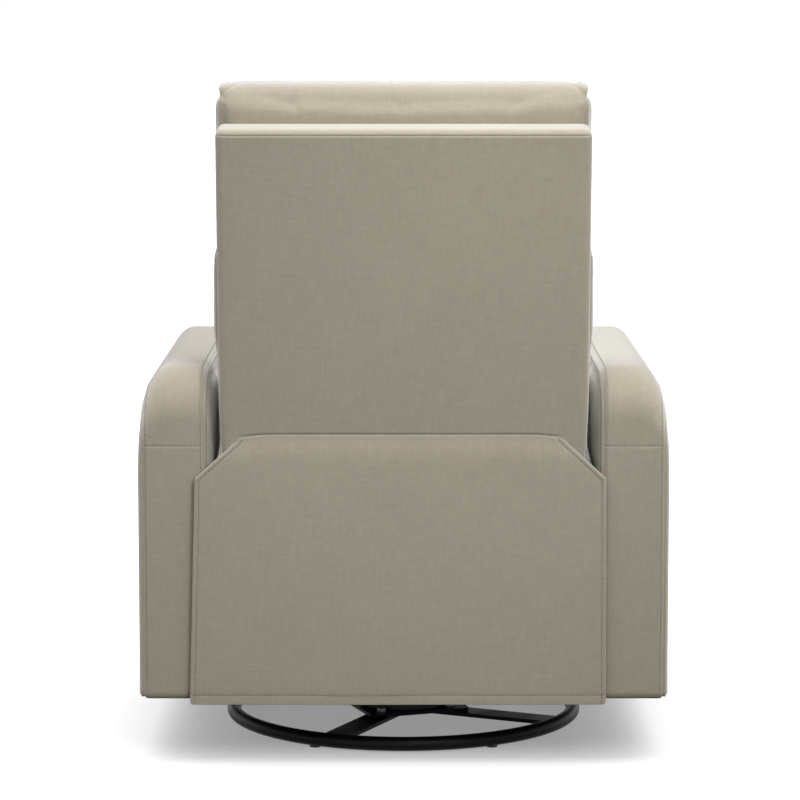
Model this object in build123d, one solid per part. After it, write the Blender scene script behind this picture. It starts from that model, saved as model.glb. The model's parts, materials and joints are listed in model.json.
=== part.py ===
from build123d import *
import math
import os

# Swivel glider recliner. Millimetres, +Z up, front towards -Y, origin on the floor under the swivel axis.
# The left of the person who sits in the chair is +X.

# Whole chair
HALF_WIDTH = 400.0
FRONT_Y = -417.0

# Ring base
RING_RADIUS = 275.0
TUBE_RADIUS = 11.0
GLIDE_PAD = 1.5
GLIDE_PAD_HIGH = 6.0
GLIDE_PAD_RADIUS = 8.5
GLIDE_PAD_COUNT = 6
SPOKE_ANGLE = 65.0
SPOKE_WIDTH = 43.0
SPOKE_THICK = 6.0
SPOKE_LOW = 9.5
SPOKE_START = 60.0
HUB_SIDE = 168.0
HUB_THICK = 5.0
HUB_CORNER = 10.0
HUB_BOLT_OFFSET = 58.0
BOLT_RADIUS = 8.0
BOLT_HIGH = 5.0
WELD_GAP = 0.05

# Swivel bearing
POST_RADIUS = 14.0
POST_FLANGE_RADIUS = 34.0
POST_FLANGE_THICK = 4.0
POST_THREAD_RADIUS = 9.0
THRUST_INNER = 50.0
THRUST_OUTER = 72.0
PLATE_LOW = 36.0
PLATE_THICK = 6.0
PLATE_HALF_DEPTH = 58.0
BOSS_RADIUS = 22.0
BOSS_HIGH = 62.0
NUT_HIGH = 74.0
NUT_RADIUS = 21.0
RUN_GAP = 0.05
REST_GAP = 0.4

# Glider linkage
PIVOT_Y = 115.0
UPPER_PIVOT_Z = 240.0
LOWER_PIVOT_Z = 110.0
BRACKET_X = 172.0
BRACKET_THICK = 5.0
BRACKET_MARGIN = 16.0
BRACKET_WING = 20.0
BRACKET_NECK_Z = 140.0
BRACKET_WING_Z = 220.0
BRACKET_HOLE = (190.0, 34.0)
BRACKET_CORNER = 9.0
LINK_X = 178.0
LINK_THICK = 4.0
LINK_WIDTH = 28.0
RAIL_X = 184.0
RAIL_THICK = 5.0
PIN_RADIUS = 5.0
HEAD_RADIUS = 8.0
HEAD_THICK = 3.0
HEAD_GAP = 0.6
BEAM_Y = 40.0
BEAM_SIZE = 25.0
TUBE_WALL = 2.0

# Chassis and arms
CROSS_TUBE_Y = 200.0
RAIL_HALF_LENGTH = 230.0
RAIL_LOW = 95.0
RAIL_HIGH = 125.0
RAIL_FLANGE = 28.0
RAIL_FLANGE_THICK = 5.0
CHANNEL_X = 279.0
CHANNEL_Y = (-260.0, 200.0)
CHANNEL_WALL = 3.0
ARM_INNER = 295.0
ARM_FRONT = -380.0
ARM_REAR = 350.0
ARM_LOW = 99.5
ARM_TOP = 602.5
ARM_END_RADIUS = 75.0
ARM_SHOULDER_X = 46.0
ARM_SHOULDER_Z = 88.0
ARM_INNER_RADIUS = 18.0
ARM_FOOT_RADIUS = 6.0
ARM_FRAME_X = (302.0, 320.0)
ARM_FRAME_Y = (-335.0, 305.0)
ARM_FRAME_Z = (118.0, 540.0)

# Footrest release, on the inner face of the right arm
GUIDE_X = (-295.0, -292.4)
GUIDE_LIP_X = -290.4
GUIDE_Y = (-180.0, -120.0)
GUIDE_Z = (440.0, 530.0)
GUIDE_LIP = 6.0
TAB_X = (-292.0, -288.6)
TAB_Y = (-173.0, -127.0)
TAB_Z = (450.0, 545.0)
TAB_CORNER = 12.0
TAB_HOLE = (-150.0, 527.0, 11.0)

# Seat
SLIDE_Z = 318.0
SLIDE_HALF = 9.0
SEAT_RAIL_X = (263.0, 275.0)
SEAT_RAIL_Z = (303.0, 333.0)
SEAT_FRONT_RAIL_Y = (-290.0, -265.0)
SEAT_REAR_RAIL_Y = (245.0, 270.0)
STRAP_WIDTH = 50.0
STRAP_THICK = 2.5
STRAP_COUNT = 5
STRAP_SPAN = 430.0
SEAT_RAIL_Y = (-345.0, 300.0)
DECK_HALF = 257.0
DECK_Y = (-290.0, 250.0)
SLIDE_BLOCK_X = 291.0
SLIDE_BLOCKS_Y = (-190.0, 110.0)
SLIDE_BLOCK_LENGTH = 60.0
SEAT_LOW = 346.0
SEAT_SHOULDER = 476.0
SEAT_REAR = 250.0

# Back, drawn upright with its rear face at Y = 0 and the flap seam at Z = 0, then leaned and placed
SEAM_Y = 357.0
SEAM_Z = 505.0
SHELL_TOP_Y = 415.0
SHELL_TOP_Z = 963.0
SHELL_HALF = 277.5
SHELL_FOOT_HALF = 268.0
SHELL_FOOT = -84.0
SHELL_TAPER_Z = 60.0
SHELL_CORNER = 12.0
SHELL_DEPTH = 70.0
SHELL_WALL = 22.0
SHELL_CAVITY_HALF = 261.0
RIM_RADIUS = 9.0
STILE_X = (230.0, 255.0)
STILE_Y = (-68.0, -43.0)
STILE_Z = (-150.0, 434.0)
LOWER_RAIL_Z = -40.0
BACK_STRAPS_Z = (10.0, 110.0, 210.0, 310.0)
PIVOT_PLATE_THICK = 3.6
CUSHION_BACK = -71.0
CUSHION_LOW = -24.0
CUSHION_FOOT_HALF = 258.0
CUSHION_WAIST = (278.0, 70.0)
CUSHION_WIDEST = (285.0, 140.0)
CUSHION_TOP_HALF = 281.0
CUSHION_SPLIT = 272.0
CUSHION_GAP = 2.0
PILLOW_TOP = 506.0
HINGE_Y = 320.0
HINGE_Z = 380.0
HINGE_PIN_RADIUS = 6.0
HINGE_HEAD_RADIUS = 10.0
HINGE_PIN_X = (252.0, 267.0)

# Rear flap
FLAP_FRONT = 358.0
FLAP_THICK = 6.0
FLAP_LOW = 93.0
FLAP_SHOULDER_Z = 439.0
FLAP_HALF = (242.0, 309.5, 315.0)

# Footrest scissor
ORIGIN_Y = -315.0
ORIGIN_Z = 330.0
SCISSOR_LENGTH = 236.0
STOWED_ANGLE = 86.0
SCISSOR_WIDTH = 16.0
SCISSOR_THICK = 4.0
LAYER_X = (254.5, 249.5, 244.5, 239.5)
SIDE_PLATE_X = (259.0, 263.0)
SCISSOR_PIN = 3.5
BOARD_Y = (-372.0, -360.0)
PAD_Z = (106.0, 332.0)
CROSS_ROD = 5.0
PLATE_BAR_WIDTH = 30.0
PLATE_ARM_Y = (-335.0, -200.0)
CARRIER_Z = (150.0, 290.0)
CARRIER_FLANGE_X = 268.0
CARRIER_FLANGE_THICK = 4.0
BOARD_HALF = 270.0
BOARD_INSET = 6.0

LEAN = math.degrees(math.atan2(SHELL_TOP_Y - SEAM_Y, SHELL_TOP_Z - SEAM_Z))
SHELL_TOP = math.hypot(SHELL_TOP_Y - SEAM_Y, SHELL_TOP_Z - SEAM_Z)
BACK_PLACE = Pos(0, SEAM_Y, SEAM_Z) * Rot(-LEAN, 0, 0)


def block(x, y, z):
    """Box from three (low, high) pairs."""
    size = [high - low for low, high in (x, y, z)]
    centre = [(high + low) / 2 for low, high in (x, y, z)]
    return Pos(*centre) * Box(*size)


def rod(x, y, z, radius):
    """Round bar along X between the (low, high) pair x."""
    return Pos((x[0] + x[1]) / 2, y, z) * Rot(0, 90, 0) * Cylinder(radius, x[1] - x[0])


def upright(radius, low, high, x=0, y=0):
    """Round bar along Z."""
    return Pos(x, y, (low + high) / 2) * Cylinder(radius, high - low)


def side_plate(face, x):
    """Plate whose outline is drawn in Y and Z, between the (low, high) pair x."""
    return extrude(Plane.YZ.offset(x[0]) * face, x[1] - x[0])


def tube_x(x, y, z):
    """Square tube along X with open ends."""
    wall = TUBE_WALL
    inner = block((x[0] - 1, x[1] + 1), (y[0] + wall, y[1] - wall), (z[0] + wall, z[1] - wall))
    return block(x, y, z) - inner


def outline(points, radius):
    """Closed outline with every corner rounded."""
    face = make_face(Polyline(*points, close=True))
    return fillet(face.vertices(), radius)


def arc_edge(start, end, rise):
    """Edge of an anticlockwise outline that swells outwards by rise, or draws in where rise is negative."""
    if rise == 0:
        return Line(start, end)
    dx = end[0] - start[0]
    dy = end[1] - start[1]
    length = math.hypot(dx, dy)
    middle = ((start[0] + end[0]) / 2 + rise * dy / length, (start[1] + end[1]) / 2 - rise * dx / length)
    return ThreePointArc(start, middle, end)


def soft_outline(x, y, rises, radius):
    """Four-sided outline with swelling sides (bottom, right, top, left) and round corners."""
    corners = [(x[0], y[0]), (x[1], y[0]), (x[1], y[1]), (x[0], y[1])]
    edges = [arc_edge(corners[i], corners[(i + 1) % 4], rises[i]) for i in range(4)]
    face = make_face(edges)
    return fillet(face.vertices(), radius)


def cushion(front, side, plan):
    """Closed soft form that keeps within its three outlines, seen from the front, the side and above."""
    reach = 1500.0
    from_front = extrude(Plane.XZ * front, reach, both=True)
    from_side = extrude(Plane.YZ * side, reach, both=True)
    from_above = extrude(Plane.XY * plan, reach, both=True)
    return from_front & from_side & from_above


def mirrored(shape):
    return mirror(shape, Plane.YZ)


def both(*shapes):
    """Each shape and its mirror image on the other side of the chair."""
    return [copy for shape in shapes for copy in (shape, mirrored(shape))]


def save(name, *shapes):
    solids = [solid for shape in shapes for solid in shape.solids()]
    whole = solids[0] if len(solids) == 1 else Compound(solids)
    export_step(whole, f"parts/{name}.step")


def save_pair(name, shape):
    """The piece on the +X side is the sitter's left one."""
    save(f"{name}_left", shape)
    save(f"{name}_right", mirrored(shape))


def bar_outline(start, end, width):
    """Round-ended bar between two points."""
    dx = end[0] - start[0]
    dy = end[1] - start[1]
    middle = Pos((start[0] + end[0]) / 2, (start[1] + end[1]) / 2)
    return middle * Rot(0, 0, math.degrees(math.atan2(dy, dx))) * SlotCenterToCenter(math.hypot(dx, dy), width)


def headed_pin(pin_x, head_x, y, z, radius, head_radius):
    return rod(pin_x, y, z, radius) + rod(head_x, y, z, head_radius)


def make_base():
    ring = Pos(0, 0, GLIDE_PAD + TUBE_RADIUS) * Torus(RING_RADIUS, TUBE_RADIUS)
    ring_seat = Pos(0, 0, GLIDE_PAD + TUBE_RADIUS) * Torus(RING_RADIUS, TUBE_RADIUS + WELD_GAP)
    save("base_ring", ring)

    pad = upright(GLIDE_PAD_RADIUS, 0, GLIDE_PAD_HIGH, x=RING_RADIUS) - ring_seat
    pads = [Rot(0, 0, 360 * i / GLIDE_PAD_COUNT) * pad for i in range(GLIDE_PAD_COUNT)]
    save("floor_glides", *pads)

    spoke_high = SPOKE_LOW + SPOKE_THICK
    spoke = block((SPOKE_START, RING_RADIUS), (-SPOKE_WIDTH / 2, SPOKE_WIDTH / 2), (SPOKE_LOW, spoke_high))
    spoke = (spoke - ring_seat).solids().sort_by(Axis.X)[0]
    spokes = [Rot(0, 0, SPOKE_ANGLE + 90 * i) * spoke for i in range(4)]
    save("base_spokes", *spokes)

    hub_low = spoke_high
    hub_high = hub_low + HUB_THICK
    corner = HUB_SIDE / 2
    hub_face = outline([(-corner, -corner), (corner, -corner), (corner, corner), (-corner, corner)], HUB_CORNER)
    hub = Pos(0, 0, hub_low) * extrude(hub_face, HUB_THICK)
    save("hub_plate", Rot(0, 0, SPOKE_ANGLE - 45) * hub)

    bolt_face = RegularPolygon(BOLT_RADIUS, 6)
    bolt = Pos(HUB_BOLT_OFFSET, HUB_BOLT_OFFSET, hub_high) * extrude(bolt_face, BOLT_HIGH)
    save("hub_bolts", *[Rot(0, 0, SPOKE_ANGLE - 45 + 90 * i) * bolt for i in range(4)])

    flange_high = hub_high + POST_FLANGE_THICK
    shoulder = BOSS_HIGH + REST_GAP
    post = upright(POST_FLANGE_RADIUS, hub_high, flange_high) + upright(POST_RADIUS, flange_high, shoulder)
    post += upright(POST_THREAD_RADIUS, shoulder, NUT_HIGH + 2)
    save("swivel_post", post)

    thrust_high = PLATE_LOW - REST_GAP
    thrust = upright(THRUST_OUTER, hub_high, thrust_high) - upright(THRUST_INNER, hub_high, thrust_high)
    save("swivel_thrust_ring", thrust)

    nut = Pos(0, 0, shoulder) * extrude(RegularPolygon(NUT_RADIUS, 6), NUT_HIGH - shoulder)
    save("swivel_nut", nut - upright(POST_THREAD_RADIUS, shoulder, NUT_HIGH))


def make_glider():
    plate_high = PLATE_LOW + PLATE_THICK
    half = BRACKET_X
    deep = PLATE_HALF_DEPTH
    plate_face = outline([(-half, -deep), (half, -deep), (half, deep), (-half, deep)], 8.0)
    plate = Pos(0, 0, PLATE_LOW) * extrude(plate_face, PLATE_THICK)
    plate += upright(BOSS_RADIUS, plate_high, BOSS_HIGH)
    save("swivel_plate", plate - upright(POST_RADIUS + RUN_GAP, PLATE_LOW, BOSS_HIGH))

    beam = tube_x((-half, half), (BEAM_Y - BEAM_SIZE / 2, BEAM_Y + BEAM_SIZE / 2),
                  (plate_high, plate_high + BEAM_SIZE))
    save("glider_cross_beams", beam, mirror(beam, Plane.XZ))

    top = UPPER_PIVOT_Z + BRACKET_MARGIN
    wing = PIVOT_Y + BRACKET_WING
    half_web = [(deep, PLATE_LOW), (deep, BRACKET_NECK_Z), (wing, BRACKET_WING_Z), (wing, top)]
    web = outline(half_web + [(-y, z) for y, z in reversed(half_web)], BRACKET_CORNER)
    hole_z, hole_radius = BRACKET_HOLE
    web -= Pos(0, hole_z) * Circle(hole_radius)
    bracket = side_plate(web, (BRACKET_X, BRACKET_X + BRACKET_THICK))
    pivots = [(-PIVOT_Y, UPPER_PIVOT_Z), (PIVOT_Y, UPPER_PIVOT_Z)]
    for y, z in pivots:
        bracket -= rod((BRACKET_X, BRACKET_X + BRACKET_THICK), y, z, PIN_RADIUS)
    save_pair("glider_bracket", bracket)

    outer = LINK_X + LINK_THICK + 1
    upper_pins = [headed_pin((BRACKET_X, outer), (outer, outer + HEAD_THICK), y, z, PIN_RADIUS, HEAD_RADIUS)
                  for y, z in pivots]
    save("glider_upper_pins", *both(*upper_pins))

    for name, y in (("front", -PIVOT_Y), ("rear", PIVOT_Y)):
        ends = [(y, UPPER_PIVOT_Z), (y, LOWER_PIVOT_Z)]
        face = bar_outline(ends[0], ends[1], LINK_WIDTH)
        for end in ends:
            face -= Pos(*end) * Circle(PIN_RADIUS + RUN_GAP)
        save_pair(f"glide_link_{name}", side_plate(face, (LINK_X, LINK_X + LINK_THICK)))


def make_chassis():
    rail_x = (RAIL_X, RAIL_X + RAIL_THICK)
    rail_y = (-RAIL_HALF_LENGTH, RAIL_HALF_LENGTH)
    web_high = RAIL_HIGH - 4
    rail_face = outline([(rail_y[0], RAIL_LOW), (rail_y[1], RAIL_LOW), (rail_y[1], web_high),
                         (rail_y[0], web_high)], 4.0)
    rail = side_plate(rail_face, rail_x)
    rail += block((RAIL_X, RAIL_X + RAIL_FLANGE), rail_y, (RAIL_HIGH - RAIL_FLANGE_THICK, RAIL_HIGH))
    for y in (-PIVOT_Y, PIVOT_Y):
        rail -= rod(rail_x, y, LOWER_PIVOT_Z, PIN_RADIUS)
    save_pair("glide_rail", rail)

    head = LINK_X - HEAD_GAP
    lower_pins = [headed_pin((head, RAIL_X + RAIL_THICK), (head - HEAD_THICK, head), y, LOWER_PIVOT_Z,
                             PIN_RADIUS, HEAD_RADIUS) for y in (-PIVOT_Y, PIVOT_Y)]
    save("glider_lower_pins", *both(*lower_pins))

    for name, y in (("front", -CROSS_TUBE_Y), ("rear", CROSS_TUBE_Y)):
        tube = tube_x((-ARM_INNER, ARM_INNER), (y - BEAM_SIZE / 2, y + BEAM_SIZE / 2),
                      (RAIL_HIGH, RAIL_HIGH + BEAM_SIZE))
        save(f"chassis_tube_{name}", tube)

    room = SLIDE_HALF + REST_GAP
    reach = room + CHANNEL_WALL
    channel = block((CHANNEL_X, ARM_INNER), CHANNEL_Y, (SLIDE_Z - reach, SLIDE_Z + reach))
    channel -= block((CHANNEL_X - 1, ARM_INNER - CHANNEL_WALL), (CHANNEL_Y[0] - 1, CHANNEL_Y[1] + 1),
                     (SLIDE_Z - room, SLIDE_Z + room))
    save_pair("slide_channel", channel)


def make_arms():
    side = make_face(Polyline((ARM_FRONT, ARM_LOW), (ARM_REAR, ARM_LOW), (ARM_REAR, ARM_TOP),
                              (ARM_FRONT, ARM_TOP), close=True))
    low_corners = side.vertices().sort_by(Axis.Y)[:2]
    side = fillet(low_corners, ARM_FOOT_RADIUS)
    side = fillet(side.vertices().sort_by(Axis.Y)[-2:], ARM_END_RADIUS)

    shoulder = (HALF_WIDTH - ARM_SHOULDER_X, ARM_TOP - ARM_SHOULDER_Z)
    inner = ARM_INNER + ARM_INNER_RADIUS
    section = make_face([
        Line((ARM_INNER, ARM_LOW), (HALF_WIDTH, ARM_LOW)),
        Line((HALF_WIDTH, ARM_LOW), (HALF_WIDTH, shoulder[1])),
        EllipticalCenterArc(shoulder, ARM_SHOULDER_X, ARM_SHOULDER_Z, start_angle=0, arc_size=90),
        Line((shoulder[0], ARM_TOP), (inner, ARM_TOP)),
        CenterArc((inner, ARM_TOP - ARM_INNER_RADIUS), ARM_INNER_RADIUS, 90, 90),
        Line((ARM_INNER, ARM_TOP - ARM_INNER_RADIUS), (ARM_INNER, ARM_LOW)),
    ])
    cover = side_plate(side, (ARM_INNER - 1, HALF_WIDTH + 1)) & extrude(Plane.XZ * section, 500.0, both=True)
    frame = block(ARM_FRAME_X, ARM_FRAME_Y, ARM_FRAME_Z)
    save_pair("arm_cover", cover - frame)
    save_pair("arm_frame", frame)


def make_release():
    guide = block(GUIDE_X, GUIDE_Y, GUIDE_Z)
    for y in (GUIDE_Y[0], GUIDE_Y[1] - GUIDE_LIP):
        guide += block((GUIDE_X[1], GUIDE_LIP_X), (y, y + GUIDE_LIP), GUIDE_Z)
    save("release_guide", guide)
    tab_face = outline([(TAB_Y[0], TAB_Z[0]), (TAB_Y[1], TAB_Z[0]), (TAB_Y[1], TAB_Z[1]),
                        (TAB_Y[0], TAB_Z[1])], TAB_CORNER)
    hole_y, hole_z, hole_radius = TAB_HOLE
    tab_face -= Pos(hole_y, hole_z) * Circle(hole_radius)
    save("release_tab", side_plate(tab_face, TAB_X))


def make_seat():
    rail = block(SEAT_RAIL_X, SEAT_RAIL_Y, SEAT_RAIL_Z)
    save_pair("seat_side_rail", rail)
    inner = (-SIDE_PLATE_X[0], SIDE_PLATE_X[0])
    save("seat_front_rail", tube_x(inner, SEAT_FRONT_RAIL_Y, SEAT_RAIL_Z))
    save("seat_rear_rail", tube_x(inner, SEAT_REAR_RAIL_Y, SEAT_RAIL_Z))

    strap_z = (SEAT_RAIL_Z[1], SEAT_RAIL_Z[1] + STRAP_THICK)
    pitch = STRAP_SPAN / (STRAP_COUNT - 1)
    straps = []
    for i in range(STRAP_COUNT):
        x = (i - (STRAP_COUNT - 1) / 2) * pitch
        straps.append(block((x - STRAP_WIDTH / 2, x + STRAP_WIDTH / 2),
                            (SEAT_FRONT_RAIL_Y[0], SEAT_REAR_RAIL_Y[1]), strap_z))
    save("seat_webbing", *straps)
    save("seat_deck_pad", block((-DECK_HALF, DECK_HALF), DECK_Y, (strap_z[1], SEAT_LOW)))

    front = soft_outline((-277.0, 277.0), (SEAT_LOW, SEAT_SHOULDER), (0, 4.0, 11.0, 4.0), 30.0)
    side = soft_outline((FRONT_Y + 5, SEAT_REAR), (SEAT_LOW, SEAT_SHOULDER), (0, 2.0, 11.0, 3.0), 34.0)
    plan = soft_outline((-281.0, 281.0), (FRONT_Y + 1, SEAT_REAR), (-5.0, -4.0, -5.0, -4.0), 26.0)
    save("seat_cushion", cushion(front, side, plan))

    slide_z = (SLIDE_Z - SLIDE_HALF, SLIDE_Z + SLIDE_HALF)
    blocks = [block((SEAT_RAIL_X[1], SLIDE_BLOCK_X), (y, y + SLIDE_BLOCK_LENGTH), slide_z)
              for y in SLIDE_BLOCKS_Y]
    save("slide_blocks", *both(*blocks))

    hinge_face = outline([(225, 303), (300, 303), (HINGE_Y + 18, HINGE_Z - 8), (HINGE_Y + 14, HINGE_Z + 16),
                          (HINGE_Y - 14, HINGE_Z + 16), (264, 334), (225, 331)], 6.0)
    hinge_plate = side_plate(hinge_face, SIDE_PLATE_X) - rod(SIDE_PLATE_X, HINGE_Y, HINGE_Z, HINGE_PIN_RADIUS)
    save("back_hinge_plates", *both(hinge_plate))
    hinge_pin = headed_pin((HINGE_PIN_X[0], SIDE_PLATE_X[1]), (SIDE_PLATE_X[1], HINGE_PIN_X[1]),
                           HINGE_Y, HINGE_Z, HINGE_PIN_RADIUS, HINGE_HEAD_RADIUS)
    save("back_hinge_pins", *both(hinge_pin))


def make_back():
    def put(name, *shapes):
        save(name, *[BACK_PLACE * shape for shape in shapes])

    stile = block(STILE_X, STILE_Y, STILE_Z)
    inset = TUBE_WALL
    stile -= block((STILE_X[0] + inset, STILE_X[1] - inset), (STILE_Y[0] + inset, STILE_Y[1] - inset),
                   (STILE_Z[0] - 1, STILE_Z[1] + 1))
    put("back_stile_left", stile)
    put("back_stile_right", mirrored(stile))
    span = (-STILE_X[0], STILE_X[0])
    put("back_top_rail", tube_x(span, STILE_Y, (STILE_Z[1] - BEAM_SIZE, STILE_Z[1])))
    put("back_lower_rail", tube_x(span, STILE_Y, (LOWER_RAIL_Z, LOWER_RAIL_Z + BEAM_SIZE)))

    straps = [block((-STILE_X[1], STILE_X[1]), (STILE_Y[0] - STRAP_THICK, STILE_Y[0]), (z, z + STRAP_WIDTH))
              for z in BACK_STRAPS_Z]
    put("back_webbing", *straps)

    hinge = BACK_PLACE.inverse() * Pos(0, HINGE_Y, HINGE_Z)
    hy, hz = hinge.position.Y, hinge.position.Z
    pivot_face = outline([(STILE_Y[0], -150), (STILE_Y[1], -150), (hy + 10, hz - 14), (hy + 16, hz),
                          (hy + 10, hz + 14), (STILE_Y[1], -60), (STILE_Y[0], -60)], 5.0)
    pivot_x = (STILE_X[1], STILE_X[1] + PIVOT_PLATE_THICK)
    pivot_plate = side_plate(pivot_face, pivot_x) - rod(pivot_x, hy, hz, HINGE_PIN_RADIUS + RUN_GAP)
    put("back_pivot_plates", *both(pivot_plate))

    edge = [(SHELL_FOOT_HALF, SHELL_FOOT), (SHELL_HALF, SHELL_TAPER_Z), (SHELL_HALF, SHELL_TOP)]
    shell_face = outline(edge + [(-x, z) for x, z in reversed(edge)], SHELL_CORNER)
    shell = extrude(Plane.XZ * shell_face, SHELL_DEPTH)
    rear_edges = shell.faces().sort_by(Axis.Y)[-1].edges()
    shell = fillet(rear_edges, RIM_RADIUS)
    shell -= block((-SHELL_CAVITY_HALF, SHELL_CAVITY_HALF), (-SHELL_DEPTH - 1, -SHELL_WALL),
                   (SHELL_FOOT - 1, STILE_Z[1] + 6))
    put("back_shell", shell)

    height = (CUSHION_LOW, CUSHION_SPLIT - CUSHION_GAP)
    edge = [(CUSHION_FOOT_HALF, height[0]), CUSHION_WAIST, CUSHION_WIDEST, (CUSHION_TOP_HALF, height[1])]
    front = outline(edge + [(-x, z) for x, z in reversed(edge)], 24.0)
    side = soft_outline((-192.0, CUSHION_BACK), height, (0, 0, 0, 13.0), 34.0)
    plan = soft_outline((-290.0, 290.0), (-197.0, CUSHION_BACK), (8.0, 0, 0, 0), 28.0)
    put("lower_back_cushion", cushion(front, side, plan))

    height = (CUSHION_SPLIT + CUSHION_GAP, PILLOW_TOP)
    front = soft_outline((-280.0, 280.0), height, (2.0, 4.0, 3.0, 4.0), 22.0)
    side = soft_outline((-200.0, CUSHION_BACK), height, (1.0, 0, 6.0, 15.0), 32.0)
    plan = soft_outline((-283.0, 283.0), (-206.0, CUSHION_BACK), (8.0, -2.0, 0, -2.0), 26.0)
    put("head_pillow", cushion(front, side, plan))


def make_flap():
    seam, shoulder, hem = FLAP_HALF
    face = make_face(Polyline((-hem, FLAP_LOW), (hem, FLAP_LOW), (shoulder, FLAP_SHOULDER_Z), (seam, SEAM_Z),
                              (-seam, SEAM_Z), (-shoulder, FLAP_SHOULDER_Z), close=True))
    save("rear_flap", extrude(Plane.XZ.offset(-FLAP_FRONT) * face, -FLAP_THICK))


def make_footrest():
    angle = math.radians(STOWED_ANGLE)
    step = SCISSOR_LENGTH * math.cos(angle)
    drop = SCISSOR_LENGTH * math.sin(angle)
    high = [(ORIGIN_Y - i * step, ORIGIN_Z) for i in range(3)]
    low = [(ORIGIN_Y - i * step, ORIGIN_Z - drop) for i in range(3)]
    cross = [((high[i][0] + low[i + 1][0]) / 2, ORIGIN_Z - drop / 2) for i in range(2)]

    def layer(i):
        return (LAYER_X[i], LAYER_X[i] + SCISSOR_THICK)

    def scissor(start, end, holes, i):
        face = bar_outline(start, end, SCISSOR_WIDTH)
        for hole in holes:
            face -= Pos(*hole) * Circle(SCISSOR_PIN + RUN_GAP)
        return side_plate(face, layer(i))

    def pin(point, first, last):
        return rod((LAYER_X[last], LAYER_X[first] + SCISSOR_THICK), *point, SCISSOR_PIN)

    plate_face = bar_outline(high[0], (ORIGIN_Y, low[0][1] - 2), PLATE_BAR_WIDTH)
    arm_low, arm_high = SEAT_RAIL_Z
    plate_face += outline([(PLATE_ARM_Y[0], arm_low), (PLATE_ARM_Y[1], arm_low), (PLATE_ARM_Y[1], arm_high),
                           (PLATE_ARM_Y[0], arm_high)], 5.0)
    slot_top = ORIGIN_Z - SCISSOR_LENGTH * math.sin(math.radians(10.0))
    plate_face -= bar_outline((ORIGIN_Y, slot_top + 1), (ORIGIN_Y, low[0][1] - 1), 2 * (SCISSOR_PIN + 0.3))
    plate = side_plate(plate_face, SIDE_PLATE_X)
    save("footrest_side_plates", *both(plate))
    origin_pin = rod((LAYER_X[0], SIDE_PLATE_X[0]), *high[0], SCISSOR_PIN)
    save("footrest_origin_pins", *both(origin_pin))

    a1 = scissor(high[0], low[1], [high[0], cross[0]], 0) + pin(low[1], 0, 3)
    rod_end = LAYER_X[3] - REST_GAP
    stub = rod((rod_end, LAYER_X[3]), *low[1], SCISSOR_PIN)
    save("footrest_links_upper", *both(a1 + stub))
    save("footrest_cross_rod", rod((-rod_end, rod_end), *low[1], CROSS_ROD))
    b1 = scissor(low[0], high[1], [high[1]], 1) + pin(cross[0], 0, 1)
    b1 += rod((LAYER_X[1], SIDE_PLATE_X[1] - 0.3), *low[0], SCISSOR_PIN)
    save("footrest_links_lower", *both(b1))
    b2 = scissor(low[1], cross[1], [low[1]], 3)
    save("footrest_links_brace", *both(b2))

    a2 = scissor(high[1], low[2], [], 2) + pin(high[1], 1, 2)
    flange_y = (BOARD_Y[1], BOARD_Y[1] + CARRIER_FLANGE_THICK)
    web = block(layer(2), (flange_y[0], cross[1][0]), CARRIER_Z)
    flange = block((LAYER_X[2], CARRIER_FLANGE_X), flange_y, CARRIER_Z)
    save("footrest_carriers", *both(a2 + web + flange))
    board_z = (PAD_Z[0] + BOARD_INSET, PAD_Z[1] - BOARD_INSET)
    save("footrest_board", block((-BOARD_HALF, BOARD_HALF), BOARD_Y, board_z))

    front = soft_outline((-283.0, 283.0), PAD_Z, (0, 1.0, 0, 1.0), 22.0)
    side = soft_outline((FRONT_Y + 8, BOARD_Y[0]), PAD_Z, (0, 0, 0, 8.0), 16.0)
    plan = soft_outline((-284.0, 284.0), (FRONT_Y, BOARD_Y[0]), (0, -3.0, 0, -3.0), 14.0)
    save("footrest_pad", cushion(front, side, plan))


os.makedirs("parts", exist_ok=True)
make_base()
make_glider()
make_chassis()
make_arms()
make_release()
make_seat()
make_back()
make_flap()
make_footrest()
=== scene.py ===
import json
import math
import bpy
import numpy as np
from mathutils import Euler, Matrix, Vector
from mathutils.bvhtree import BVHTree


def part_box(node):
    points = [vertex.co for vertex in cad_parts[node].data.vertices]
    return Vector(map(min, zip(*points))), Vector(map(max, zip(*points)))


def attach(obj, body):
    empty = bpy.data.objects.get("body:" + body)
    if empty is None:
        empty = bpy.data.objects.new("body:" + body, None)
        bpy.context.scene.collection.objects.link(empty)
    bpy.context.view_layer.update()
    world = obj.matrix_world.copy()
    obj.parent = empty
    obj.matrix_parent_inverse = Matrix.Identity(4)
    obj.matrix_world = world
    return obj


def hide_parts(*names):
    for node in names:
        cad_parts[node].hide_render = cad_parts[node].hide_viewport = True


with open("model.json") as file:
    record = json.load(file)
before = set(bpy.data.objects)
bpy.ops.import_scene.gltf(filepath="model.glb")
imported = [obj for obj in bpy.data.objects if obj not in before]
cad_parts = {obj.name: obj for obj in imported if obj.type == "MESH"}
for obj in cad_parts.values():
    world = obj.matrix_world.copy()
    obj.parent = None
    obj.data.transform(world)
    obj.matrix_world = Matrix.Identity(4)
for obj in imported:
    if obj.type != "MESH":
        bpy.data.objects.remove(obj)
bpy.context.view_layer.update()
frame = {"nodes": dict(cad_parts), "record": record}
NODES = frame["nodes"]
FLAP_LOW, FLAP_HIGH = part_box("rear_flap")

# The photograph's camera, in metres, degrees and millimetres
CAMERA_PLACE = (0.0055, 5.19, 1.151)
CAMERA_PITCH = 7.0
CAMERA_LENS = 146.2
CAMERA_SENSOR = 36.0

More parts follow.
